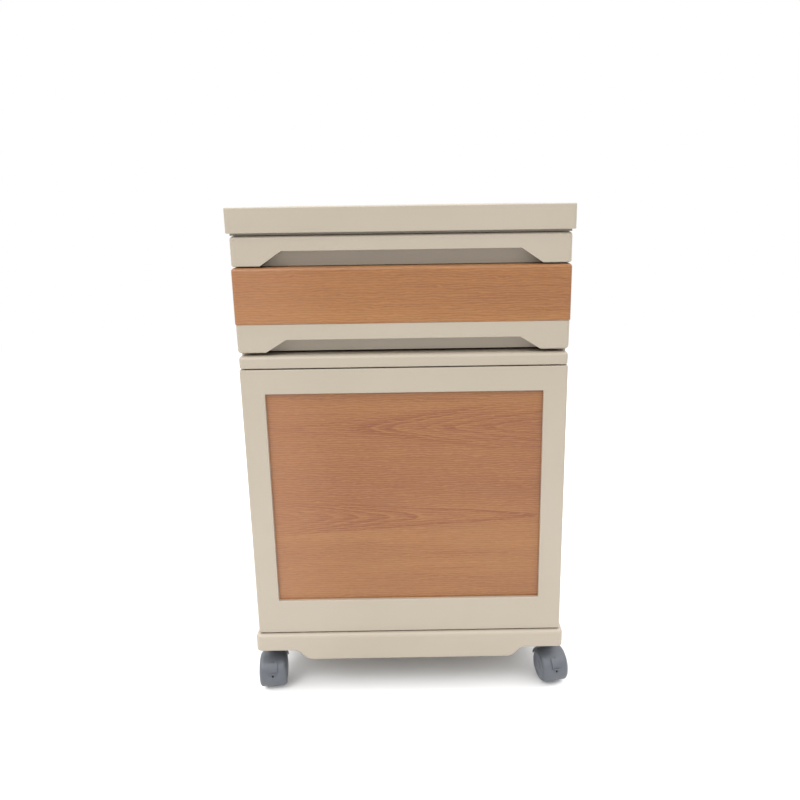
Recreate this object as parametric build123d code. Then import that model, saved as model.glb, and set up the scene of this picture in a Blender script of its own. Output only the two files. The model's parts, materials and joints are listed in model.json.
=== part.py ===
from build123d import *
import os
from math import cos, radians, sin

# Hospital bedside cabinet, moulded plastic, on four twin-wheel casters.
# Frame: origin on the floor under the middle of the top, +Z up, front towards -Y,
# +X towards the hinge side of the door. All sizes are in millimetres.

# Whole cabinet
HEIGHT = 760.0
TOP_HALF = 240.0             # half of the 480 x 480 top
BODY_HALF = 236.0            # half width of the carcass, door and fronts
CARCASS_FRONT = -213.0
CARCASS_BACK = 232.0
FRONT_FACE = -236.0          # face of the tray front, drawer front, rail and door
FRONT_BACK = -214.0          # rear of the tray front and drawer front

# Top
TOP_UNDERSIDE = 725.4
TOP_PLATE_UNDER = 750.0
TOP_DISH_DEPTH = 4.0
TOP_RIM = 20.0
TOP_CORNER = 5.0
WALL = 4.0
TOP_LIP = (-229.0, -226.0)   # front and back of the lip that closes the gap over the tray front

# Tray (pull-out writing board)
TRAY_FRONT_TOP = 721.6
TRAY_FRONT_BOTTOM = 680.0
TRAY_GRIP_TOP = 700.9
TRAY_RIB = 0.8               # rib under the tray front that narrows the gap to the drawer
TRAY_RUNNER_Z = 706.0
TRAY_SCREW_Z = 704.0
TRAY_BOARD_HALF = 207.0
TRAY_BOARD_THICK = 12.0

# Drawer
DECOR_TOP = 678.4
DECOR_BOTTOM = 599.0
DECOR_HALF = 237.0
DECOR_THICK = 1.6
DECOR_FACE = -236.6
DRAWER_BOTTOM = 557.6
DRAWER_GRIP_TOP = 576.8
DRAWER_RUNNER_Z = 646.0
TUB_HALF = 205.0
TUB_BOTTOM = 560.0
TUB_TOP = 656.0
TUB_WALL = 2.5
SLIDE_BACK = 186.0           # rear end of the tray board and the drawer tub

# Finger grips in both fronts: a trapezium notch in front of a pocket
GRIP_HALF_BOTTOM = 196.8
GRIP_HALF_TOP = 165.9
GRIP_BACK = -217.0
GRIP_CORNER = 3.0

# Runners
RUNNER_FRONT = -208.0
RUNNER_BACK = 200.0
RUNNER_INNER = 210.0
RUNNER_WEB = 2.5
RUNNER_FLANGE = 2.3
RUNNER_GAP = 5.4             # clear height inside the channel
LIP_HALF = 216.5             # half width over the sliding lips
LIP_THICK = 4.0

# Divider with the bullnose rail
RAIL_TOP = 553.7
RAIL_BOTTOM = 535.0
DIVIDER_FLANGE = 12.0

# Door
DOOR_TOP = 533.4
DOOR_BOTTOM = 110.0
DOOR_HALF = 236.0
DOOR_BACK = -216.0
DOOR_WALL = 3.0
DOOR_SKIN = 2.5
WINDOW_HALF = 201.2
WINDOW_BOTTOM = 164.8
WINDOW_TOP = 497.0
WINDOW_DEPTH = 5.0
WINDOW_ROUND = 1.2
PANEL_THICK = 3.0
PANEL_OVERLAP = 5.6
HINGE_X = 228.0
HINGE_Y = -226.0
PIN_RADIUS = 3.0
BUSH_RADIUS = 5.0

# Side panels
PANEL_DEPTH = 14.0
SKIN = 3.0
INNER_FACE = BODY_HALF - PANEL_DEPTH

# Plinth
PLINTH_HALF = 241.0
PLINTH_TOP = 108.4
PLINTH_BOTTOM = 80.0
SKIRT_BOTTOM = 64.0
SKIRT_HALF = 160.2
DECK_UNDER = 104.4
PLINTH_CORNER = 8.0
PLINTH_BULLNOSE = 6.0
SKIRT_CURVE = 18.0
SKIRT_DEPTH = 12.0

# Inner shelf
SHELF_TOP = 334.0
SHELF_THICK = 14.0
PEG_PLACES = (-150.0, 150.0)

# Casters
STEM_X = 224.0
STEM_Y = 188.0
BOSS_RADIUS = 14.0
BOSS_BOTTOM = 62.0
WHEEL_RADIUS = 25.0
WHEEL_INNER = 3.6
WHEEL_OUTER = 19.9
WHEEL_SHOULDER = 6.0
AXLE_OFFSET = 18.0
AXLE_RADIUS = 3.0
AXLE_HALF = 16.5
HOOD_OUTER = 28.5
HOOD_INNER = 26.0
HOOD_HALF = 21.8
HOOD_SHOULDER = 6.5
HOOD_SIDE_HOLE = 21.4
WEB_HALF = 3.0
NECK_RADIUS = 9.5
NECK_TOP = 58.4
STEM_RADIUS = 5.5
PIVOT_RADIUS = 4.0
RUNNING_FIT = 0.06

# name: stem x, stem y, turn about the stem, has a brake
CASTERS = {
    "front_left": (-STEM_X, -STEM_Y, 5.0, True),
    "front_right": (STEM_X, -STEM_Y, 14.0, True),
    "rear_left": (-STEM_X, STEM_Y, -15.0, False),
    "rear_right": (STEM_X, STEM_Y, -5.0, False),
}


def slab(x0, x1, y0, y1, z0, z1):
    """Block between two opposite corners."""
    middle = Pos((x0 + x1) / 2, (y0 + y1) / 2, (z0 + z1) / 2)
    return middle * Box(x1 - x0, y1 - y0, z1 - z0)


def rod(radius, start, end):
    """Cylinder along X, Y or Z from start to end."""
    axis = Vector(*end) - Vector(*start)
    return extrude(Plane(origin=start, z_dir=axis) * Circle(radius), axis.length)


def both_sides(part):
    """A part and its mirror image in the middle plane of the cabinet."""
    return [part, mirror(part, about=Plane.YZ)]


def upright_edges(part):
    return part.edges().filter_by(Axis.Z)


def rounded_slab(x0, x1, y0, y1, z0, z1, corner):
    block = slab(x0, x1, y0, y1, z0, z1)
    return fillet(upright_edges(block), corner)


def front_block(half, face, back, bottom, top, side_r, top_r, bottom_r):
    """Front moulding with a flat rear, rounded at its sides, top and bottom."""
    block = slab(-half, half, face, back, bottom, top)
    block = fillet(upright_edges(block).group_by(Axis.Y)[0], side_r)
    for place, radius in ((-1, top_r), (0, bottom_r)):
        rim = block.faces().sort_by(Axis.Z)[place].edges()
        rim = [edge for edge in rim if edge.center().Y < back - 0.01]
        block = fillet(rim, radius)
    return block


def grip_pocket(bottom, top):
    """Finger pocket: open at the front and below, with sloping ends."""
    reach = GRIP_HALF_BOTTOM + GRIP_HALF_BOTTOM - GRIP_HALF_TOP
    below = bottom - (top - bottom)
    outline = Polyline(
        (-reach, below), (-GRIP_HALF_TOP, top), (GRIP_HALF_TOP, top), (reach, below), close=True
    )
    face = fillet(make_face(outline).vertices().group_by(Axis.Y)[-1], GRIP_CORNER)
    pocket = extrude(Plane.XZ * face, 2 * abs(FRONT_FACE))
    return pocket & slab(-reach, reach, FRONT_FACE - 5, GRIP_BACK, below, top)


def screw(length, head=4.0, shank=1.75):
    """Pan-head screw: head above Z = 0, shank below, with a cross recess."""
    top = 1.8
    body = rod(head, (0, 0, 0), (0, 0, top))
    body = fillet(body.edges().sort_by(Axis.Z)[-1], 1.2)
    body += rod(shank, (0, 0, -length), (0, 0, 0))
    for turn in (0, 90):
        body -= Rot(0, 0, turn) * slab(-2.0, 2.0, -0.4, 0.4, top - 0.9, top + 1)
    return body


def flat_screw(length, head=2.6, shank=1.5, depth=1.2, recess=True):
    """Countersunk screw: its head is flush with Z = 0."""
    body = Pos(0, 0, -depth / 2) * Cone(shank, head, depth)
    body += rod(shank, (0, 0, -length), (0, 0, -depth / 2))
    if recess:
        for turn in (0, 90):
            body -= Rot(0, 0, turn) * slab(-1.5, 1.5, -0.35, 0.35, -0.8, 1)
    return body


# ---------------------------------------------------------------- carcass

TOP_SCREWS = [(x, y) for x in (-227.0, 227.0) for y in (-150.0, 150.0)]
BACK_SCREW_Z = (135.0, 330.0, 542.0, 715.0)
RUNNER_SCREW_Y = (-160.0, 150.0)
RIB_Y = (-115.0, -10.0, 95.0)
RIB_Z = (220.0, 420.0, 590.0)


def top_panel():
    body = rounded_slab(-TOP_HALF, TOP_HALF, -TOP_HALF, TOP_HALF, TOP_UNDERSIDE, HEIGHT, TOP_CORNER)
    body = fillet(body.faces().sort_by(Axis.Z)[-1].edges(), 2.0)
    body = fillet(body.faces().sort_by(Axis.Z)[0].edges(), 1.2)
    dish = TOP_HALF - TOP_RIM
    floor = HEIGHT - TOP_DISH_DEPTH
    body -= rounded_slab(-dish, dish, -dish, dish, floor, HEIGHT + 1, 14.0)
    rim = body.faces().sort_by(Axis.Z)[-1].inner_wires()[0].edges()
    body = fillet(rim, 1.5)
    seat = body.faces().filter_by(lambda f: abs(f.center().Z - floor) < 0.01)[0]
    body = fillet(seat.edges(), 2.0)
    inner = TOP_HALF - WALL
    body -= rounded_slab(-inner, inner, -inner, inner, TOP_UNDERSIDE - 1, TOP_PLATE_UNDER, 5.0)
    body += slab(-inner, inner, *TOP_LIP, TRAY_FRONT_TOP + 0.5, TOP_PLATE_UNDER)
    for place in (-110.0, 0.0, 110.0):
        body += slab(-218, 218, place - 1.5, place + 1.5, 741, TOP_PLATE_UNDER)
        body += slab(place - 1.5, place + 1.5, -206, 206, 741, TOP_PLATE_UNDER)
    for x, y in TOP_SCREWS:
        body -= rod(1.75, (x, y, TOP_PLATE_UNDER), (x, y, TOP_PLATE_UNDER + 7))
    return body


def side_panel():
    """Right side: skin with a recessed field, and flanges, ribs and bosses inside."""
    shell = slab(INNER_FACE, BODY_HALF, CARCASS_FRONT, CARCASS_BACK, PLINTH_TOP, TOP_PLATE_UNDER)
    shell = fillet(upright_edges(shell).group_by(Axis.X)[-1], 3.0)
    shell -= slab(
        INNER_FACE, BODY_HALF - SKIN - 1.2, CARCASS_FRONT + SKIN, CARCASS_BACK - SKIN,
        PLINTH_TOP + SKIN, TOP_PLATE_UNDER - SKIN,
    )
    field = slab(BODY_HALF - 1.2, BODY_HALF + 1, -180, 199, 140, 700)
    field = fillet(field.edges().filter_by(Axis.X), 16.0)
    shell -= field
    ribs = [slab(INNER_FACE, 233, y - 1.5, y + 1.5, PLINTH_TOP, TOP_PLATE_UNDER) for y in RIB_Y]
    ribs += [slab(INNER_FACE, 233, CARCASS_FRONT, CARCASS_BACK, z - 1.5, z + 1.5) for z in RIB_Z]
    holes = []
    for z in (TRAY_RUNNER_Z, DRAWER_RUNNER_Z):
        for y in RUNNER_SCREW_Y:
            ribs.append(rod(5, (INNER_FACE, y, z), (233, y, z)))
            holes.append(rod(1.5, (INNER_FACE, y, z), (231, y, z)))
    for y in PEG_PLACES:
        z = SHELF_TOP - SHELF_THICK - 3
        ribs.append(rod(6, (INNER_FACE, y, z), (233, y, z)))
        holes.append(rod(3, (INNER_FACE, y, z), (231, y, z)))
    for z in BACK_SCREW_Z:
        ribs.append(slab(INNER_FACE, 233, CARCASS_BACK - 14, CARCASS_BACK, z - 5, z + 5))
        holes.append(rod(1.75, (HINGE_X, CARCASS_BACK - 11, z), (HINGE_X, CARCASS_BACK, z)))
    for x, y in TOP_SCREWS:
        if x > 0:
            ribs.append(slab(INNER_FACE, 233, y - 5, y + 5, PLINTH_TOP, PLINTH_TOP + 14))
            holes.append(rod(1.75, (x, y, PLINTH_TOP), (x, y, PLINTH_TOP + 11)))
            holes.append(rod(1.75, (x, y, TOP_PLATE_UNDER - 5), (x, y, TOP_PLATE_UNDER)))
    for rib in ribs:
        shell += rib
    for hole in holes:
        shell -= hole
    return shell


def back_panel():
    """Sheet screwed over the rear edges, with two pressed fields."""
    y0 = CARCASS_BACK
    sheet = slab(-232, 232, y0, y0 + 3, PLINTH_TOP + 2, 748)
    sheet = fillet(sheet.edges().filter_by(Axis.Y), 6.0)
    for bottom, top in ((150.0, 520.0), (565.0, 700.0)):
        field = slab(-205, 205, y0 + 2, y0 + 4, bottom, top)
        sheet -= fillet(field.edges().filter_by(Axis.Y), 14.0)
    for z in BACK_SCREW_Z:
        for x in (-HINGE_X, HINGE_X):
            sheet -= rod(1.75, (x, y0 - 1, z), (x, y0 + 4, z))
    return sheet


def divider_shelf():
    """Plate between drawer and cupboard; its front is the full-width bullnose rail."""
    nose = front_block(BODY_HALF, FRONT_FACE, CARCASS_FRONT, RAIL_BOTTOM, RAIL_TOP, 7.0, 6.5, 2.0)
    x = INNER_FACE
    plate = slab(-x, x, CARCASS_FRONT, CARCASS_BACK, RAIL_TOP - DIVIDER_FLANGE, RAIL_TOP)
    for x0, x1 in ((-x + SKIN, -1.5), (1.5, x - SKIN)):
        for y0, y1 in ((CARCASS_FRONT, -70.0), (-67.0, 80.0), (83.0, CARCASS_BACK - SKIN)):
            plate -= slab(x0, x1, y0, y1, 0, RAIL_TOP - SKIN)
    bore = rod(BUSH_RADIUS, (HINGE_X, HINGE_Y, RAIL_BOTTOM - 1), (HINGE_X, HINGE_Y, RAIL_BOTTOM + 8))
    return nose + plate - bore


def skirt():
    """Drop skirt along the front edge of the plinth, with S-curved ends."""
    slope = PLINTH_BOTTOM - SKIRT_BOTTOM
    wide = SKIRT_HALF + slope
    end = wide + 2 * SKIRT_CURVE
    upper = PLINTH_BOTTOM + 8
    outline = make_face(Polyline(
        (-end, upper), (-end, PLINTH_BOTTOM), (-wide, PLINTH_BOTTOM), (-SKIRT_HALF, SKIRT_BOTTOM),
        (SKIRT_HALF, SKIRT_BOTTOM), (wide, PLINTH_BOTTOM), (end, PLINTH_BOTTOM), (end, upper),
        close=True,
    ))
    bends = [v for v in outline.vertices() if abs(v.X) < wide + 1]
    face = fillet(bends, SKIRT_CURVE)
    return Pos(0, -PLINTH_HALF + SKIRT_DEPTH, 0) * extrude(Plane.XZ * face, SKIRT_DEPTH)


def base_plinth():
    """Moulded base: deck, wall with a bullnose, four drop skirts and the caster bosses."""
    edge = PLINTH_HALF
    body = rounded_slab(-edge, edge, -edge, edge, PLINTH_BOTTOM, PLINTH_TOP, PLINTH_CORNER)
    body = fillet(body.faces().sort_by(Axis.Z)[-1].edges(), PLINTH_BULLNOSE)
    for turn in (0, 90, 180, 270):
        body += Rot(0, 0, turn) * skirt()
    lower = []
    for e in body.edges():
        c = e.center()
        reach = max(abs(c.X), abs(c.Y))
        at_corner = min(abs(c.X), abs(c.Y)) > edge - PLINTH_CORNER
        if c.Z < PLINTH_BOTTOM + 0.01 and (reach > edge - 0.01 or at_corner):
            lower.append(e)
    body = fillet(lower, 2.5)
    inner = edge - WALL
    body -= rounded_slab(-inner, inner, -inner, inner, SKIRT_BOTTOM - 1, DECK_UNDER, 10.0)
    for place in (-140.0, -47.0, 47.0, 140.0):
        body += slab(-inner, inner, place - 1.5, place + 1.5, 92, DECK_UNDER)
        body += slab(place - 1.5, place + 1.5, -inner, inner, 92, DECK_UNDER)
    for x in (-STEM_X, STEM_X):
        for y in (-STEM_Y, STEM_Y):
            body += rod(BOSS_RADIUS, (x, y, BOSS_BOTTOM), (x, y, DECK_UNDER))
    body += rod(9, (HINGE_X, HINGE_Y, 98), (HINGE_X, HINGE_Y, DECK_UNDER)) & slab(
        0, inner + 2, -inner - 2, 0, 90, PLINTH_TOP
    )
    body -= rod(BUSH_RADIUS, (HINGE_X, HINGE_Y, PLINTH_TOP - 8), (HINGE_X, HINGE_Y, PLINTH_TOP + 1))
    for x in (-STEM_X, STEM_X):
        for y in (-STEM_Y, STEM_Y):
            body -= rod(STEM_RADIUS, (x, y, BOSS_BOTTOM - 1), (x, y, 92))
    for x, y in TOP_SCREWS:
        body -= rod(1.75, (x, y, DECK_UNDER - 1), (x, y, PLINTH_TOP + 1))
    return body


def inner_shelf():
    half = INNER_FACE - 0.5
    front, back = CARCASS_FRONT + 12, CARCASS_BACK - 1
    shelf = slab(-half, half, front, back, SHELF_TOP - SHELF_THICK, SHELF_TOP)
    front_edges = shelf.edges().filter_by(Axis.X).group_by(Axis.Y)[0]
    shelf = fillet(front_edges, 2.0)
    for x0, x1 in ((-half + SKIN, -1.5), (1.5, half - SKIN)):
        for y0, y1 in ((front + SKIN, -60.0), (-57.0, 80.0), (83.0, back - SKIN)):
            shelf -= slab(x0, x1, y0, y1, 0, SHELF_TOP - SKIN)
    return shelf


def shelf_pegs():
    z = SHELF_TOP - SHELF_THICK - 3
    pegs = []
    for y in PEG_PLACES:
        peg = rod(3, (INNER_FACE - 10, y, z), (231, y, z))
        peg += rod(5, (INNER_FACE - 1.5, y, z), (INNER_FACE, y, z)) & slab(200, 240, y - 6, y + 6, 0, z + 3)
        pegs += both_sides(peg)
    return pegs


def runner(z):
    """Right-hand C-channel, screwed to the side panel."""
    half = RUNNER_GAP / 2 + RUNNER_FLANGE
    rail = slab(RUNNER_INNER, INNER_FACE, RUNNER_FRONT, RUNNER_BACK, z - half, z + half)
    rail = fillet(rail.edges().filter_by(Axis.Y).group_by(Axis.X)[0], 1.0)
    gap = RUNNER_GAP / 2
    rail -= slab(
        RUNNER_INNER - 1, INNER_FACE - RUNNER_WEB, RUNNER_FRONT - 1, RUNNER_BACK - 4, z - gap, z + gap
    )
    for y in RUNNER_SCREW_Y:
        rail -= runner_screw(y, z, recess=False)
    return rail


def runner_screw(y, z, recess=True):
    return Pos(INNER_FACE - RUNNER_WEB, y, z) * Rot(0, -90, 0) * flat_screw(11, recess=recess)


def runner_screws():
    found = []
    for z in (TRAY_RUNNER_Z, DRAWER_RUNNER_Z):
        for y in RUNNER_SCREW_Y:
            found += both_sides(runner_screw(y, z))
    return found


def back_screws():
    y = CARCASS_BACK + 3
    one = Rot(-90, 0, 0) * screw(13, head=3.8)
    return [Pos(x, y, z) * one for z in BACK_SCREW_Z for x in (-HINGE_X, HINGE_X)]


def carcass_screws():
    """Down through the top flanges of the sides, and up through the plinth deck."""
    found = []
    for x, y in TOP_SCREWS:
        found.append(Pos(x, y, TOP_PLATE_UNDER - SKIN) * Rot(180, 0, 0) * screw(9, head=3.2))
        found.append(Pos(x, y, DECK_UNDER) * Rot(180, 0, 0) * screw(14, head=3.8))
    return found


def hinge_bushes():
    """Two flanged nylon bushes for the door pins, above and below the door."""
    bushes = []
    for z0, z1, flange in (
        (RAIL_BOTTOM, RAIL_BOTTOM + 8, (RAIL_BOTTOM - 1, RAIL_BOTTOM)),
        (PLINTH_TOP - 8, PLINTH_TOP, (PLINTH_TOP, PLINTH_TOP + 0.9)),
    ):
        bush = rod(BUSH_RADIUS, (HINGE_X, HINGE_Y, z0), (HINGE_X, HINGE_Y, z1))
        bush += rod(6.5, (HINGE_X, HINGE_Y, flange[0]), (HINGE_X, HINGE_Y, flange[1]))
        bush -= rod(PIN_RADIUS + RUNNING_FIT, (HINGE_X, HINGE_Y, z0 - 2), (HINGE_X, HINGE_Y, z1 + 2))
        bushes.append(bush)
    return bushes


def door_catch():
    """Magnetic catch on the left side panel, at the free side of the door."""
    case = slab(-INNER_FACE, -INNER_FACE + 15, FRONT_BACK, FRONT_BACK + 18, 482, 522)
    case = fillet(case.edges().filter_by(Axis.X), 1.5)
    for z in (492.0, 512.0):
        case -= slab(-INNER_FACE + 4, -INNER_FACE + 12, FRONT_BACK - 1, FRONT_BACK + 0.8, z - 6, z + 6)
    return case


# ---------------------------------------------------------------- tray

def tray_front():
    body = front_block(
        BODY_HALF, FRONT_FACE, FRONT_BACK, TRAY_FRONT_BOTTOM, TRAY_FRONT_TOP, 5.5, 5.0, 2.5
    )
    body -= grip_pocket(TRAY_FRONT_BOTTOM, TRAY_GRIP_TOP)
    body += slab(-230, 230, GRIP_BACK, FRONT_BACK, TRAY_FRONT_BOTTOM - TRAY_RIB, TRAY_FRONT_BOTTOM + 1)
    for x0, x1 in ((-231, -157), (-143, -2), (2, 143), (157, 231)):
        body -= slab(x0, x1, FRONT_FACE + WALL, FRONT_BACK, TRAY_GRIP_TOP + 3, TRAY_FRONT_TOP - WALL)
    for x in (-150.0, 150.0):
        body -= rod(1.75, (x, FRONT_BACK - 9, TRAY_SCREW_Z), (x, FRONT_BACK, TRAY_SCREW_Z))
    return body


def tray_board():
    z0, z1 = TRAY_RUNNER_Z - TRAY_BOARD_THICK / 2, TRAY_RUNNER_Z + TRAY_BOARD_THICK / 2
    half = TRAY_BOARD_HALF
    board = slab(-half, half, FRONT_BACK, SLIDE_BACK, z0, z1)
    dish = slab(-half + 9, half - 9, FRONT_BACK + 9, SLIDE_BACK - 9, z1 - 1.6, z1 + 1)
    board -= fillet(upright_edges(dish), 8.0)
    step = (SLIDE_BACK - FRONT_BACK - SKIN) / 3
    for column in range(4):
        for row in range(3):
            x0 = -half + SKIN + column * (2 * half - SKIN) / 4
            y0 = FRONT_BACK + SKIN + row * step
            board -= slab(x0, x0 + (2 * half - SKIN) / 4 - SKIN, y0, y0 + step - SKIN, z0 - 1, z1 - 4)
    for side in (-1, 1):
        x0, x1 = sorted((side * half, side * LIP_HALF))
        z = TRAY_RUNNER_Z
        board += slab(x0, x1, RUNNER_FRONT + 2, SLIDE_BACK, z - LIP_THICK / 2, z + LIP_THICK / 2)
    for x in (-150.0, 150.0):
        board -= rod(1.75, (x, FRONT_BACK - 1, TRAY_SCREW_Z), (x, FRONT_BACK + SKIN, TRAY_SCREW_Z))
    return board


def tray_screws():
    y = FRONT_BACK + SKIN
    return [Pos(x, y, TRAY_SCREW_Z) * Rot(-90, 0, 0) * screw(11, head=3.0) for x in (-150, 150)]


# ---------------------------------------------------------------- drawer

DRAWER_SCREW_PLACES = [(x, z) for x in (-150.0, 150.0) for z in (590.0, 640.0)]


def decor_core():
    """The part of the drawer front that the decor cap covers."""
    return front_block(
        DECOR_HALF - DECOR_THICK, DECOR_FACE + DECOR_THICK, FRONT_BACK,
        DECOR_BOTTOM, DECOR_TOP - DECOR_THICK, 4.0, 3.6, 0.5,
    )


def drawer_front():
    body = front_block(BODY_HALF, FRONT_FACE, FRONT_BACK, DRAWER_BOTTOM, DECOR_BOTTOM, 5.5, 1.0, 4.5)
    body -= grip_pocket(DRAWER_BOTTOM, DRAWER_GRIP_TOP)
    body += decor_core()
    for x0, x1 in ((-200, -157), (-143, -2), (2, 143), (157, 200)):
        body -= slab(x0, x1, FRONT_FACE + WALL, FRONT_BACK, DRAWER_GRIP_TOP + 3, TUB_TOP - 4)
    for x, z in DRAWER_SCREW_PLACES:
        body -= rod(1.75, (x, FRONT_BACK - 9, z), (x, FRONT_BACK, z))
    return body


def drawer_front_decor():
    cap = front_block(DECOR_HALF, DECOR_FACE, FRONT_BACK, DECOR_BOTTOM, DECOR_TOP, 5.5, 5.0, 0.8)
    return cap - decor_core()


def drawer_tub():
    half = TUB_HALF
    tub = rounded_slab(-half, half, FRONT_BACK, SLIDE_BACK, TUB_BOTTOM, TUB_TOP, 4.0)
    inside = rounded_slab(
        -half + TUB_WALL, half - TUB_WALL, FRONT_BACK + TUB_WALL, SLIDE_BACK - TUB_WALL,
        TUB_BOTTOM + TUB_WALL, TUB_TOP + 1, 6.0,
    )
    inside = fillet(inside.faces().sort_by(Axis.Z)[0].edges(), 4.0)
    tub -= inside
    for side in (-1, 1):
        x0, x1 = sorted((side * half, side * LIP_HALF))
        z = DRAWER_RUNNER_Z
        tub += slab(x0, x1, RUNNER_FRONT + 2, SLIDE_BACK - 4, z - LIP_THICK / 2, z + LIP_THICK / 2)
    for x, z in DRAWER_SCREW_PLACES:
        tub -= rod(1.75, (x, FRONT_BACK - 1, z), (x, FRONT_BACK + TUB_WALL + 1, z))
    return tub


def drawer_screws():
    y = FRONT_BACK + TUB_WALL
    return [Pos(x, y, z) * Rot(-90, 0, 0) * screw(11) for x, z in DRAWER_SCREW_PLACES]


# ---------------------------------------------------------------- door

DOOR_SCREW_PLACES = [(x, z) for x in (-221.5, 221.5) for z in (145.0, 321.5, 465.0)]


def door_frame():
    """Front skin, outer wall and a wall round the window, open at the rear."""
    body = front_block(DOOR_HALF, FRONT_FACE, DOOR_BACK, DOOR_BOTTOM, DOOR_TOP, 3.5, 1.5, 1.5)
    rear = upright_edges(body).group_by(Axis.Y)[-1]
    body = fillet(rear, 2.0)
    skin = FRONT_FACE + DOOR_SKIN
    seat = FRONT_FACE + WINDOW_DEPTH
    body -= slab(
        -DOOR_HALF + DOOR_WALL, DOOR_HALF - DOOR_WALL, skin, DOOR_BACK + 1,
        DOOR_BOTTOM + DOOR_WALL, DOOR_TOP - DOOR_WALL,
    )
    grow = PANEL_OVERLAP
    x, z0, z1 = WINDOW_HALF + grow, WINDOW_BOTTOM - grow, WINDOW_TOP + grow
    back = DOOR_BACK - PANEL_THICK
    body += slab(-x - 3, x + 3, skin, back, z0 - 3, z1 + 3) - slab(-x, x, seat, back, z0, z1)
    for x, z in DOOR_SCREW_PLACES:
        body += rod(4.5, (x, skin, z), (x, back, z))
    for z0, z1 in ((DOOR_BOTTOM + 1, DOOR_BOTTOM + 20), (DOOR_TOP - 20, DOOR_TOP - 1)):
        body += slab(HINGE_X - 9, DOOR_HALF - 1, skin, back, z0, z1)
    window = slab(
        -WINDOW_HALF, WINDOW_HALF, FRONT_FACE - 1, seat + 1, WINDOW_BOTTOM, WINDOW_TOP
    )
    body -= fillet(window.edges().filter_by(Axis.Y), 2.0)
    rim = [e for e in body.edges() if abs(e.center().Y - FRONT_FACE) < 0.01]
    rim = [e for e in rim if abs(e.center().X) < WINDOW_HALF + 0.01]
    rim = [e for e in rim if WINDOW_BOTTOM - 0.01 < e.center().Z < WINDOW_TOP + 0.01]
    body = fillet(rim, WINDOW_ROUND)
    for x, z in DOOR_SCREW_PLACES:
        body -= rod(1.75, (x, back - 10, z), (x, back, z))
    for z0, z1 in ((DOOR_BOTTOM - 1, DOOR_BOTTOM + 10), (DOOR_TOP - 10, DOOR_TOP + 1)):
        body -= rod(PIN_RADIUS, (HINGE_X, HINGE_Y, z0), (HINGE_X, HINGE_Y, z1))
    return body


def door_decor_panel():
    grow = PANEL_OVERLAP
    y = FRONT_FACE + WINDOW_DEPTH
    return slab(
        -WINDOW_HALF - grow, WINDOW_HALF + grow, y, y + PANEL_THICK,
        WINDOW_BOTTOM - grow, WINDOW_TOP + grow,
    )


def door_inner_panel():
    half = DOOR_HALF - DOOR_WALL
    sheet = slab(
        -half, half, DOOR_BACK - PANEL_THICK, DOOR_BACK,
        DOOR_BOTTOM + DOOR_WALL, DOOR_TOP - DOOR_WALL,
    )
    field = slab(-195, 195, DOOR_BACK - 1, DOOR_BACK + 1, 160, 470)
    sheet -= fillet(field.edges().filter_by(Axis.Y), 12.0)
    for x, z in DOOR_SCREW_PLACES:
        sheet -= rod(1.75, (x, DOOR_BACK - PANEL_THICK - 1, z), (x, DOOR_BACK + 1, z))
    return sheet


def door_screws():
    return [Pos(x, DOOR_BACK, z) * Rot(-90, 0, 0) * screw(12, head=3.6) for x, z in DOOR_SCREW_PLACES]


def door_hinge_pins():
    pins = []
    for z0, z1 in ((PLINTH_TOP - 7, DOOR_BOTTOM + 10), (DOOR_TOP - 10, RAIL_BOTTOM + 7)):
        pins.append(rod(PIN_RADIUS, (HINGE_X, HINGE_Y, z0), (HINGE_X, HINGE_Y, z1)))
    return pins


def door_strike():
    """Steel plate on the door, facing the magnetic catch."""
    plate = slab(-INNER_FACE + 1, -INNER_FACE + 15, DOOR_BACK, DOOR_BACK + 1.4, 486, 518)
    return fillet(plate.edges().filter_by(Axis.Y), 2.0)


def door_bumpers():
    dots = []
    for z in (135.0, 520.0):
        dot = rod(4, (-229, DOOR_BACK, z), (-229, DOOR_BACK + 2.6, z))
        dots.append(fillet(dot.edges().sort_by(Axis.Y)[-1], 1.0))
    return dots


# ---------------------------------------------------------------- casters
# Each caster is drawn with its stem on the Z axis and its wheels towards -Y.

AXLE = (0, -AXLE_OFFSET, WHEEL_RADIUS)


def wheel_disc(radius, x0, x1):
    """Disc round the wheel axle."""
    return rod(radius, (x0, AXLE[1], AXLE[2]), (x1, AXLE[1], AXLE[2]))


def around_axle(radius, angle):
    """Point round the axle; 0 degrees is ahead of it and 90 is above it."""
    return (
        -AXLE_OFFSET - radius * cos(radians(angle)),
        WHEEL_RADIUS + radius * sin(radians(angle)),
    )


def sector(radius, start, end, x0, x1):
    """Pie slice round the axle, between two angles."""
    steps = 8
    spread = [start + (end - start) * i / steps for i in range(steps + 1)]
    points = [(-AXLE_OFFSET, WHEEL_RADIUS)] + [around_axle(radius, a) for a in spread]
    face = make_face(Polyline(*points, close=True))
    return Pos(x0, 0, 0) * extrude(Plane.YZ * face, x1 - x0)


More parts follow.
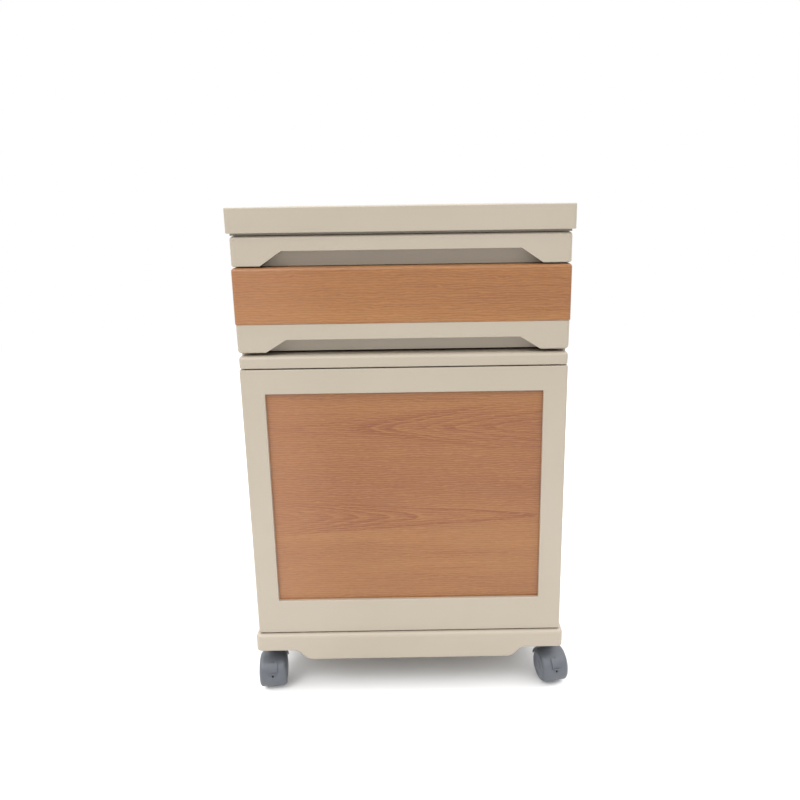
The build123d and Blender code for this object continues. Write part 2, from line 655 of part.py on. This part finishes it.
def caster_hood(has_brake):
    """Hood over both wheels, with the web between them and the swivel neck."""
    open_side = (150, 328)
    band = wheel_disc(HOOD_OUTER, -HOOD_HALF, HOOD_HALF)
    band = fillet(band.edges().filter_by(GeomType.CIRCLE), HOOD_SHOULDER)
    room = wheel_disc(HOOD_INNER, -HOOD_HALF + 1, HOOD_HALF - 1)
    band -= fillet(room.edges().filter_by(GeomType.CIRCLE), HOOD_SHOULDER - 0.3)
    band -= wheel_disc(HOOD_SIDE_HOLE, -HOOD_HALF - 1, HOOD_HALF + 1)
    web = wheel_disc(HOOD_INNER + 0.5, -WEB_HALF, WEB_HALF)
    mouth = sector(70, *open_side, -40, 40)
    hood = (band - mouth) + (web - mouth) + wheel_disc(21, -WEB_HALF, WEB_HALF)
    neck = rod(NECK_RADIUS, (0, 0, 30), (0, 0, NECK_TOP))
    neck -= wheel_disc(HOOD_INNER, -30, -WEB_HALF)
    neck -= wheel_disc(HOOD_INNER, WEB_HALF, 30)
    neck -= slab(-30, -WEB_HALF, -30, 30, 0, 42)
    neck -= slab(WEB_HALF, 30, -30, 30, 0, 42)
    hood += neck
    hood -= rod(PIVOT_RADIUS + RUNNING_FIT, (0, 0, 47), (0, 0, NECK_TOP + 1))
    hood -= wheel_disc(AXLE_RADIUS, -10, 10)
    if has_brake:
        slot = sector(70, 5, 52, -1.4, 1.4) + wheel_disc(8.5, -1.4, 1.4)
        hood -= slot
    return hood


def caster_wheel():
    """Right-hand wheel of the pair, with a round shoulder, a shallow dish and a hub."""
    wheel = wheel_disc(WHEEL_RADIUS, WHEEL_INNER, WHEEL_OUTER)
    rims = wheel.edges().filter_by(GeomType.CIRCLE).sort_by(Axis.X)
    wheel = fillet(rims[-1], WHEEL_SHOULDER)
    wheel = fillet(wheel.edges().filter_by(GeomType.CIRCLE).sort_by(Axis.X)[0], 1.2)
    dish = wheel_disc(15.0, WHEEL_OUTER - 0.6, WHEEL_OUTER + 1)
    dish -= wheel_disc(6.0, WHEEL_OUTER - 2, WHEEL_OUTER + 2)
    wheel -= dish
    wheel -= wheel_disc(AXLE_RADIUS + RUNNING_FIT, WHEEL_INNER - 1, AXLE_HALF + 0.5)
    return wheel


def caster_axle():
    return wheel_disc(AXLE_RADIUS, -AXLE_HALF, AXLE_HALF)


def caster_pedal():
    """Brake lever: it turns on the axle, in a slot of the hood, and ends in a pad with a lip."""
    pad = wheel_disc(30.2, -7, 7) - wheel_disc(28.8, -8, 8)
    pad &= sector(70, 16, 50, -7, 7)
    lip = wheel_disc(32.2, -4.5, 4.5) - wheel_disc(28.8, -5, 5)
    lip &= sector(70, 15, 19, -4.5, 4.5)
    arm = sector(29.5, 20, 46, -0.9, 0.9) + wheel_disc(7.5, -0.9, 0.9)
    return pad + lip + arm - wheel_disc(AXLE_RADIUS + RUNNING_FIT, -2, 2)


def caster_stem():
    """Fixed stem: grip part in the plinth boss, collar, and the pivot in the hood."""
    stem = rod(STEM_RADIUS, (0, 0, BOSS_BOTTOM), (0, 0, 90))
    stem = chamfer(stem.edges().sort_by(Axis.Z)[-1], 1.5)
    stem += rod(9.5, (0, 0, BOSS_BOTTOM - 3), (0, 0, BOSS_BOTTOM))
    stem += rod(PIVOT_RADIUS, (0, 0, 47.6), (0, 0, BOSS_BOTTOM - 3))
    return stem


def caster_nodes():
    nodes = {}
    stems = []
    wheel = caster_wheel()
    for name, (x, y, turn, has_brake) in CASTERS.items():
        place = Location((x, y, 0), (0, 0, turn))
        nodes[f"caster_{name}_hood"] = place * caster_hood(has_brake)
        nodes[f"caster_{name}_axle"] = place * caster_axle()
        nodes[f"caster_{name}_wheel_right"] = place * wheel
        nodes[f"caster_{name}_wheel_left"] = place * mirror(wheel, about=Plane.YZ)
        if has_brake:
            nodes[f"caster_{name}_pedal"] = place * caster_pedal()
        stems.append(place * caster_stem())
    nodes["caster_stems"] = stems
    return nodes


# ---------------------------------------------------------------- all nodes

def all_nodes():
    side = side_panel()
    tray_runner = runner(TRAY_RUNNER_Z)
    drawer_runner = runner(DRAWER_RUNNER_Z)
    nodes = {
        "top_panel": top_panel(),
        "side_panel_right": side,
        "side_panel_left": mirror(side, about=Plane.YZ),
        "back_panel": back_panel(),
        "divider_shelf": divider_shelf(),
        "base_plinth": base_plinth(),
        "inner_shelf": inner_shelf(),
        "shelf_pegs": shelf_pegs(),
        "tray_runner_right": tray_runner,
        "tray_runner_left": mirror(tray_runner, about=Plane.YZ),
        "drawer_runner_right": drawer_runner,
        "drawer_runner_left": mirror(drawer_runner, about=Plane.YZ),
        "runner_screws": runner_screws(),
        "back_panel_screws": back_screws(),
        "carcass_screws": carcass_screws(),
        "hinge_bushes": hinge_bushes(),
        "door_catch": door_catch(),
        "tray_front": tray_front(),
        "tray_board": tray_board(),
        "tray_screws": tray_screws(),
        "drawer_front": drawer_front(),
        "drawer_front_decor": drawer_front_decor(),
        "drawer_tub": drawer_tub(),
        "drawer_screws": drawer_screws(),
        "door_frame": door_frame(),
        "door_decor_panel": door_decor_panel(),
        "door_inner_panel": door_inner_panel(),
        "door_screws": door_screws(),
        "door_hinge_pins": door_hinge_pins(),
        "door_strike": door_strike(),
        "door_bumpers": door_bumpers(),
    }
    nodes.update(caster_nodes())
    return nodes


os.makedirs("parts", exist_ok=True)
for node, shape in all_nodes().items():
    if isinstance(shape, list):
        shape = Compound(children=shape)
    export_step(shape, f"parts/{node}.step")
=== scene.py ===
import json
import math

import bpy
from mathutils import Matrix, Vector

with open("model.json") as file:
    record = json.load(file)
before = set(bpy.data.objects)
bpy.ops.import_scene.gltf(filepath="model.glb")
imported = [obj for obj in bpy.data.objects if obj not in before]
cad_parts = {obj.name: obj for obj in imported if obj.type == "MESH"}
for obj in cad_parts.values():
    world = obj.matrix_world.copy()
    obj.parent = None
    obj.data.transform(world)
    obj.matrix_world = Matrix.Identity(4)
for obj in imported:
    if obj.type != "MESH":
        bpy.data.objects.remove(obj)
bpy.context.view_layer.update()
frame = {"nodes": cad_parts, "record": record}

NODES = frame["nodes"]

# ---------------------------------------------------------------- camera

CAMERA_PLACE = (0.0242, -1.2242, 0.762)
CAMERA_PITCH = 13.73         # degrees below the horizontal
CAMERA_YAW = -0.23           # degrees, turned towards -X
CAMERA_ROLL = 0.82           # degrees, so that the right side of the view rises
CAMERA_LENS = 31.90          # mm, on a 36 mm sensor
CAMERA_SHIFT = (-0.0295, -0.0294)


def make_camera():
    data = bpy.data.cameras.new("camera")
    data.lens = CAMERA_LENS
    data.sensor_width = 36.0
    data.shift_x, data.shift_y = CAMERA_SHIFT
    data.clip_end = 100.0
    camera = bpy.data.objects.new("camera", data)
    bpy.context.scene.collection.objects.link(camera)
    turn = Matrix.Rotation(math.radians(CAMERA_YAW), 4, "Z")
    tilt = Matrix.Rotation(math.radians(90.0 - CAMERA_PITCH), 4, "X")
    roll = Matrix.Rotation(math.radians(-CAMERA_ROLL), 4, "Z")
    camera.matrix_world = Matrix.Translation(CAMERA_PLACE) @ turn @ tilt @ roll
    bpy.context.scene.camera = camera


# ---------------------------------------------------------------- node helpers

class Shader:
    """A material's node tree, with short calls to add and link nodes."""

    def __init__(self, name):
        self.material = bpy.data.materials.new(name)
        self.material.use_nodes = True
        self.tree = self.material.node_tree
        self.surface = self.tree.nodes["Principled BSDF"]

    def node(self, kind, inputs=(), **settings):
        made = self.tree.nodes.new(kind)
        for key, value in settings.items():
            setattr(made, key, value)
        for socket, value in dict(inputs).items():
            self.set(made.inputs[socket], value)
        return made

    def set(self, socket, value):
        if isinstance(value, bpy.types.NodeSocket):
            self.tree.links.new(value, socket)
        else:
            socket.default_value = value

    def place(self, scale=(1.0, 1.0, 1.0), shift=(0.0, 0.0, 0.0)):
        """Object coordinates in metres, stretched and moved."""
        coordinates = self.node("ShaderNodeTexCoord").outputs["Object"]
        inputs = {"Vector": coordinates, "Scale": scale, "Location": shift}
        return self.node("ShaderNodeMapping", inputs).outputs["Vector"]

    def noise(self, scale, stretch=(1, 1, 1), shift=(0, 0, 0), detail=2.0, rough=0.5, warp=0.0):
        where = self.place(stretch, shift)
        inputs = {"Vector": where, "Scale": scale, "Detail": detail, "Roughness": rough}
        inputs["Distortion"] = warp
        return self.node("ShaderNodeTexNoise", inputs).outputs["Fac"]

    def wave(self, scale, stretch, distortion, detail_scale):
        """Level bands, one above the other, broken up by a warp."""
        inputs = {"Vector": self.place(stretch), "Scale": scale, "Distortion": distortion}
        inputs.update({"Detail": 2.0, "Detail Scale": detail_scale, "Detail Roughness": 0.6})
        return self.node("ShaderNodeTexWave", inputs, bands_direction="Z").outputs["Fac"]

    def math(self, operation, a, b=0.0, c=0.0, clamp=False):
        inputs = {0: a, 1: b, 2: c}
        return self.node("ShaderNodeMath", inputs, operation=operation, use_clamp=clamp).outputs[0]

    def ramp(self, value, low, high, out_low=0.0, out_high=1.0, smooth=False):
        inputs = {"Value": value, "From Min": low, "From Max": high}
        inputs.update({"To Min": out_low, "To Max": out_high})
        kind = "SMOOTHSTEP" if smooth else "LINEAR"
        return self.node("ShaderNodeMapRange", inputs, interpolation_type=kind).outputs["Result"]

    def mix(self, factor, a, b, blend="MIX"):
        made = self.node("ShaderNodeMix", data_type="RGBA", blend_type=blend)
        self.set(made.inputs[0], factor)
        self.set(made.inputs[6], a)
        self.set(made.inputs[7], b)
        return made.outputs[2]

    def bump(self, height, distance, strength=1.0, normal=None):
        inputs = {"Height": height, "Distance": distance, "Strength": strength}
        made = self.node("ShaderNodeBump", inputs)
        if normal is not None:
            self.set(made.inputs["Normal"], normal)
        return made.outputs["Normal"]

    def finish(self, **sockets):
        for name, value in sockets.items():
            self.set(self.surface.inputs[name.replace("_", " ")], value)
        return self.material


def rgb(red, green, blue):
    """Linear colour from a display colour of 0 to 255."""
    def linear(value):
        value /= 255.0
        return value / 12.92 if value <= 0.04045 else ((value + 0.055) / 1.055) ** 2.4
    return (linear(red), linear(green), linear(blue), 1.0)


# ---------------------------------------------------------------- materials

def moulded_plastic(name, light, dark, roughness=0.42, grain=0.00003, grain_size=1100.0):
    """Moulded plastic: fine spark-eroded texture, faint clouding and uneven gloss."""
    m = Shader(name)
    cloud = m.noise(7.0, detail=3.0)
    fine = m.noise(grain_size, detail=2.0)
    colour = m.mix(m.ramp(cloud, 0.35, 0.65), dark, light)
    colour = m.mix(m.ramp(fine, 0.35, 0.7, 0.0, 0.10), colour, dark)
    gloss = m.ramp(m.noise(55.0, detail=3.0), 0.3, 0.7, roughness - 0.04, roughness + 0.05)
    normal = m.bump(fine, grain, 0.6)
    normal = m.bump(m.noise(18.0, detail=1.0), 0.00010, 0.35, normal)
    return m.finish(Base_Color=colour, Roughness=gloss, Normal=normal)


# The door's foil shows two figures of nested arches, each round its own height. A
# ring is given by its apex's distance along the grain, its slenderness, how far its
# red fades inwards and outwards, and its strength. Lengths are in metres.
LOWER_HEIGHT = 0.3005
LOWER_RINGS = (
    (-0.158, 7.0, 0.030, 0.004, 0.45),
    (-0.114, 7.0, 0.030, 0.004, 0.60),
    (-0.075, 7.0, 0.030, 0.004, 0.75),
    (-0.031, 8.0, 0.034, 0.004, 0.95),
    (0.019, 9.0, 0.040, 0.005, 1.00),
    (0.090, 14.0, 0.040, 0.008, 0.40),
    (0.196, 18.0, 0.085, 0.010, 1.00),
)
UPPER_HEIGHT = 0.4430
UPPER_RINGS = (
    (-0.130, 11.0, 0.006, 0.050, 0.70),
    (-0.072, 8.0, 0.006, 0.040, 0.85),
    (-0.025, 7.0, 0.005, 0.030, 0.60),
    (0.022, 7.0, 0.005, 0.030, 0.95),
    (0.050, 7.0, 0.005, 0.065, 1.00),
    (0.150, 13.0, 0.010, 0.060, 0.60),
)


def cathedral(m, rings, middle_z, direction, sway):
    """The arches of a board cut along a log, nested round one height, as (early, late) wood.

    direction is 1 where the arches point to +X and -1 where they point to -X. The
    rings fade out away from the middle, where the grain runs straight.
    """
    bluntness = 0.006
    sway_reach = 0.012
    wobble_reach = 0.040
    pale_line_offset = 0.007
    where = m.node("ShaderNodeSeparateXYZ", {"Vector": m.place()})
    drift = m.math("MULTIPLY", m.math("SUBTRACT", sway, 0.5), sway_reach)
    across = m.math("ADD", m.math("SUBTRACT", where.outputs["Z"], middle_z), drift)
    square = m.math("ADD", m.math("MULTIPLY", across, across), bluntness * bluntness)
    spread = m.math("SUBTRACT", m.math("SQRT", square), bluntness)
    wander = m.noise(30.0, (0.4, 1.0, 2.4), shift=(0.3, 0.0, 0.1), detail=3.0)
    wobble = m.math("SUBTRACT", m.math("MULTIPLY", wander, wobble_reach), wobble_reach / 2)
    along = m.math("MULTIPLY_ADD", where.outputs["X"], direction, wobble)
    early, late = 0.0, 0.0
    for apex, slant, inner, outer, strength in rings:
        level = m.math("SUBTRACT", m.math("MULTIPLY_ADD", spread, slant, along), apex)
        rise = m.ramp(level, -inner, 0.0, 0.0, strength, smooth=True)
        fall = m.ramp(level, 0.0, outer, 1.0, 0.0, smooth=True)
        late = m.math("MAXIMUM", late, m.math("MULTIPLY", rise, fall))
        offset = pale_line_offset if inner > outer else -pale_line_offset
        from_line = m.math("ABSOLUTE", m.math("SUBTRACT", level, offset))
        early = m.math("MAXIMUM", early, m.ramp(from_line, 0.001, 0.006, strength, 0.0))
    fade = m.ramp(m.math("ABSOLUTE", across), 0.014, 0.045, 1.0, 0.0, smooth=True)
    return m.math("MULTIPLY", early, fade), m.math("MULTIPLY", late, fade)


def beech_decor():
    """Printed beech foil: arches, straight grain, ripples, flecks, pores and a faint emboss.

    It is redder at the height of the arches, and towards its -X edge it is painted paler and pinker,
    a painted sheen.
    """
    m = Shader("beech_decor")
    pale = rgb(135, 91, 49)
    middle = rgb(122, 77, 41)
    red = rgb(107, 55, 27)
    dark = rgb(86, 47, 24)
    # Pale grain colour that also serves as a painted highlight on the embossed ripples.
    pale_grain_painted_highlight = rgb(151, 105, 61)
    # Painted sheen colour, mixed into the foil near its -X edge.
    painted_sheen_colour = rgb(147, 103, 72)
    sway = m.noise(2.6, (1.0, 1.0, 3.0), detail=2.0)
    lower = cathedral(m, LOWER_RINGS, LOWER_HEIGHT, 1, sway)
    upper = cathedral(m, UPPER_RINGS, UPPER_HEIGHT, -1, sway)
    early = m.math("MAXIMUM", lower[0], upper[0])
    late = m.math("MAXIMUM", lower[1], upper[1])
    stripes = m.noise(260.0, (0.025, 1.0, 1.0), detail=2.0, rough=0.6, warp=0.3)
    broad = m.noise(22.0, (0.06, 1.0, 1.0), shift=(0.0, 0.0, 0.7), detail=3.0, rough=0.55)
    patch = m.noise(6.0, (0.5, 1.0, 1.8), shift=(1.0, 0.0, 0.4), detail=2.0)
    ripple = m.wave(92.0, (0.22, 1.0, 1.0), distortion=7.0, detail_scale=1.6)
    flecks = m.noise(800.0, (0.18, 1.0, 1.0), shift=(0.2, 0.0, 0.0), rough=0.65, warp=0.4)
    pores = m.noise(1300.0, (0.08, 1.0, 1.0), shift=(0.6, 0.0, 0.0), detail=1.0)
    where = m.node("ShaderNodeSeparateXYZ", {"Vector": m.place()})
    core_height = 0.385
    off_core = m.math("ABSOLUTE", m.math("SUBTRACT", where.outputs["Z"], core_height))
    core = m.ramp(off_core, 0.05, 0.12, 1.0, 0.0, smooth=True)
    # Painted sheen: the foil is made paler and pinker towards its -X edge, as reflected light there.
    painted_sheen_mask = m.ramp(where.outputs["X"], -0.215, -0.07, 1.0, 0.0, smooth=True)
    colour = m.mix(m.ramp(broad, 0.32, 0.68), middle, pale)
    colour = m.mix(m.math("MULTIPLY", core, m.ramp(patch, 0.30, 0.62, 0.25, 0.60)), colour, red)
    colour = m.mix(m.ramp(stripes, 0.52, 0.72, 0.0, 0.35), colour, red)
    colour = m.mix(m.math("MULTIPLY", late, 0.85), colour, red)
    colour = m.mix(m.math("MULTIPLY", early, 0.50), colour, pale)
    colour = m.mix(m.math("MULTIPLY", painted_sheen_mask, 0.45), colour, painted_sheen_colour)
    colour = m.mix(m.ramp(ripple, 0.45, 0.0, 0.0, 0.22), colour, red)
    # Pale ripple lines: the foil's grain figure, with a painted highlight of its emboss laid on them.
    colour = m.mix(m.ramp(ripple, 0.55, 1.0, 0.0, 0.38), colour, pale_grain_painted_highlight)
    colour = m.mix(m.ramp(flecks, 0.56, 0.74, 0.0, 0.22), colour, dark)
    colour = m.mix(m.ramp(flecks, 0.46, 0.32, 0.0, 0.30), colour, pale)
    colour = m.mix(m.ramp(pores, 0.62, 0.74, 0.0, 0.16), colour, dark)
    gloss = m.ramp(flecks, 0.3, 0.7, 0.36, 0.46)
    emboss = m.math("ADD", flecks, m.math("MULTIPLY", pores, 0.6))
    normal = m.bump(emboss, 0.00004, 0.5)
    return m.finish(Base_Color=colour, Roughness=gloss, Normal=normal)


def zinc_steel():
    m = Shader("zinc_steel")
    cloud = m.noise(300.0, detail=3.0)
    colour = m.mix(m.ramp(cloud, 0.3, 0.7), rgb(176, 176, 172), rgb(205, 204, 198))
    gloss = m.ramp(m.noise(900.0, (1, 1, 0.1)), 0.3, 0.7, 0.22, 0.36)
    return m.finish(Base_Color=colour, Roughness=gloss, Metallic=1.0)


def make_materials():
    return {
        "abs_beige": moulded_plastic("abs_beige", rgb(154, 144, 130), rgb(151, 141, 126), 0.34),
        "tub_plastic": moulded_plastic("tub_plastic", rgb(181, 173, 159), rgb(177, 169, 155)),
        "runner_white": moulded_plastic("runner_white", rgb(179, 177, 171), rgb(174, 172, 165), 0.35),
        "catch_brown": moulded_plastic("catch_brown", rgb(135, 115, 92), rgb(126, 107, 84)),
        "rubber_clear": moulded_plastic("rubber_clear", rgb(181, 179, 170), rgb(170, 168, 159), 0.5),
        "caster_grey": moulded_plastic("caster_grey", rgb(80, 84, 90), rgb(76, 79, 85), 0.40),
        # caster_tread is a lighter copy of caster_grey: painted light on the wheels' shaded side
        # faces.
        "caster_tread": moulded_plastic("caster_tread", rgb(102, 106, 114), rgb(96, 100, 108), 0.38),
        "wood_decor": beech_decor(),
        "zinc_steel": zinc_steel(),
    }


def dress_nodes(materials):
    for entry in frame["record"]["subparts"]:
        piece = NODES[entry["node"]]
        piece.data.materials.clear()
        piece.data.materials.append(materials[entry["material_slot"]])


# ---------------------------------------------------------------- stage

CEILING_GLOW = 2.9           # brightness overhead; the horizon is 1
KEY_LIGHT_PLACE = (-1.6, -1.9, 2.6)
KEY_LIGHT_TARGET = (0, 0, 0.4)
KEY_LIGHT_SIZE = 1.0
KEY_LIGHT_POWER = 24.0       # watts


def make_floor():
    bpy.ops.mesh.primitive_circle_add(vertices=96, radius=30.0, fill_type="NGON")
    floor = bpy.context.object
    floor.name = "stage_floor"
    m = Shader("stage_floor")
    spread = m.node("ShaderNodeVectorMath", {0: m.place()}, operation="LENGTH").outputs["Value"]
    glow = m.ramp(spread, 0.9, 3.5, 0.0, 1.0, smooth=True)
    m.finish(Base_Color=(0.80, 0.80, 0.80, 1.0), Roughness=0.9)
    light = m.node("ShaderNodeEmission", {"Color": (1.0, 1.0, 1.0, 1.0), "Strength": 1.0})
    both = m.node("ShaderNodeMixShader", {0: glow, 1: m.surface.outputs[0], 2: light.outputs[0]})
    m.tree.links.new(both.outputs[0], m.tree.nodes["Material Output"].inputs["Surface"])
    floor.data.materials.append(m.material)


def make_world():
    """White all round near the horizon, and brighter overhead, as under a lit ceiling."""
    world = bpy.data.worlds.new("world")
    world.use_nodes = True
    nodes, links = world.node_tree.nodes, world.node_tree.links
    heading = nodes.new("ShaderNodeTexCoord").outputs["Generated"]
    split = nodes.new("ShaderNodeSeparateXYZ")
    links.new(heading, split.inputs["Vector"])
    rise = nodes.new("ShaderNodeMapRange")
    rise.interpolation_type = "SMOOTHSTEP"
    links.new(split.outputs["Z"], rise.inputs["Value"])
    reach = {"From Min": 0.24, "From Max": 0.75, "To Min": 1.0, "To Max": CEILING_GLOW}
    for socket, value in reach.items():
        rise.inputs[socket].default_value = value
    sky = nodes["Background"]
    sky.inputs["Color"].default_value = (1.0, 1.0, 1.0, 1.0)
    links.new(rise.outputs["Result"], sky.inputs["Strength"])
    bpy.context.scene.world = world


def area_light(name, place, target, size, power):
    data = bpy.data.lights.new(name, "AREA")
    data.size = size
    data.energy = power
    light = bpy.data.objects.new(name, data)
    bpy.context.scene.collection.objects.link(light)
    light.location = place
    aim = Vector(target) - Vector(place)
    light.rotation_euler = aim.to_track_quat("-Z", "Y").to_euler()
    light.visible_camera = False


def make_stage():
    make_floor()
    make_world()
    area_light("key_light", KEY_LIGHT_PLACE, KEY_LIGHT_TARGET, KEY_LIGHT_SIZE, KEY_LIGHT_POWER)
    bpy.context.scene.view_settings.view_transform = "Standard"


make_camera()
dress_nodes(make_materials())
make_stage()
